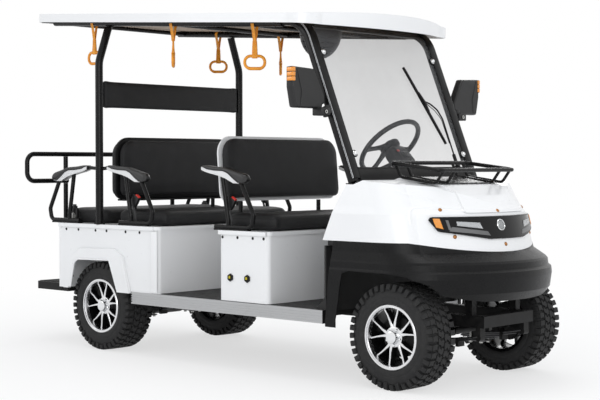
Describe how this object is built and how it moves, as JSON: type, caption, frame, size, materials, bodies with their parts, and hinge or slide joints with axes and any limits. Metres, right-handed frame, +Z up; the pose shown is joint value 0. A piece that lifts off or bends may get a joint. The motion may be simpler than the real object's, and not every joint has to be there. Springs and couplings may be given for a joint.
{
  "type": "golf cart",
  "caption": "Open electric golf cart with forward and rear-facing bench seats, a long canopy, a windshield, a front basket and steered front wheels.",
  "frame": {"origin": "on the floor, under the middle of the cart's overall box", "axes": "+X forward, +Y to the cart's left, +Z up"},
  "size_m": [3.5998, 1.655, 2.1546],
  "materials": {
    "white_body": "gloss",
    "black_trim": "satin",
    "gloss_black": "gloss",
    "clear_lens": "gloss",
    "amber_lens": "gloss",
    "red_lens": "gloss",
    "black_steel": "satin",
    "sill_aluminium": "satin",
    "floor_mat": "matte",
    "seat_vinyl": "matte",
    "tan_lining": "matte",
    "window_glass": "gloss",
    "tyre_rubber": "matte",
    "wheel_alloy": "gloss",
    "orange_strap": "matte",
    "belt_webbing": "matte",
    "battery_case": "matte"
  },
  "bodies": {
    "chassis": {"armrest_frames": "black_steel", "armrest_pads": "black_trim", "back_pads": "seat_vinyl", "battery_block": "battery_case", "canopy": "white_body", "canopy_lining": "tan_lining", "cargo_basket": "black_steel", "charge_ports": "black_trim", "chassis_frame": "black_steel", "cowl": "white_body", "dashboard": "black_trim", "driver_controls": "black_trim", "floor_panel": "floor_mat", "footrest": "black_steel", "front_bumper": "black_trim", "front_suspension": "black_steel", "grab_rail": "black_steel", "grab_straps": "orange_strap", "head_panel": "seat_vinyl", "indicator_lenses": "amber_lens", "lamp_band": "gloss_black", "lamp_lenses": "clear_lens", "mirrors": "black_trim", "rear_body": "white_body", "rear_posts": "black_steel", "rear_suspension": "black_steel", "roof_dome": "black_trim", "roof_rails": "black_steel", "seat_back_shells": "black_trim", "seat_belts": "belt_webbing", "seat_box": "white_body", "seat_cushions": "seat_vinyl", "seat_posts": "black_steel", "side_sills": "sill_aluminium", "tail_lamps": "red_lens", "windshield_frame": "black_steel", "windshield_glass": "window_glass", "wiper": "black_steel"},
    "knuckle_left": {"knuckle_left": "black_steel"},
    "knuckle_right": {"knuckle_right": "black_steel"},
    "steering_wheel": {"steering_wheel": "black_trim"},
    "wheel_front_left": {"tyre_front_left": "tyre_rubber", "wheel_front_left": "wheel_alloy"},
    "wheel_front_right": {"tyre_front_right": "tyre_rubber", "wheel_front_right": "wheel_alloy"},
    "wheel_rear_left": {"tyre_rear_left": "tyre_rubber", "wheel_rear_left": "wheel_alloy"},
    "wheel_rear_right": {"tyre_rear_right": "tyre_rubber", "wheel_rear_right": "wheel_alloy"}
  },
  "joints": [
    {"name": "steer_left", "type": "hinge", "parent": "chassis", "child": "knuckle_left", "pos_m": [1.35, 0.392, 0.275], "axis": [0, 0, 1], "range_deg": [-30, 30]},
    {"name": "steer_right", "type": "hinge", "parent": "chassis", "child": "knuckle_right", "pos_m": [1.35, -0.392, 0.275], "axis": [0, 0, 1], "range_deg": [-30, 30]},
    {"name": "steering_wheel_turn", "type": "hinge", "parent": "chassis", "child": "steering_wheel", "pos_m": [0.63, 0.305, 1.262], "axis": [-0.7193, 0, 0.6947], "range_deg": [-360, 360]},
    {"name": "front_left_roll", "type": "hinge", "parent": "knuckle_left", "child": "wheel_front_left", "pos_m": [1.35, 0.485, 0.275], "axis": [0, 1, 0], "continuous": true},
    {"name": "rear_left_roll", "type": "hinge", "parent": "chassis", "child": "wheel_rear_left", "pos_m": [-0.97, 0.485, 0.275], "axis": [0, 1, 0], "continuous": true},
    {"name": "front_right_roll", "type": "hinge", "parent": "knuckle_right", "child": "wheel_front_right", "pos_m": [1.35, -0.485, 0.275], "axis": [0, 1, 0], "continuous": true},
    {"name": "rear_right_roll", "type": "hinge", "parent": "chassis", "child": "wheel_rear_right", "pos_m": [-0.97, -0.485, 0.275], "axis": [0, 1, 0], "continuous": true}
  ],
  "couplings": [
    {"joint": "steer_right", "follows": "steer_left", "ratio": 1},
    {"joint": "steering_wheel_turn", "follows": "steer_left", "ratio": 12}
  ]
}
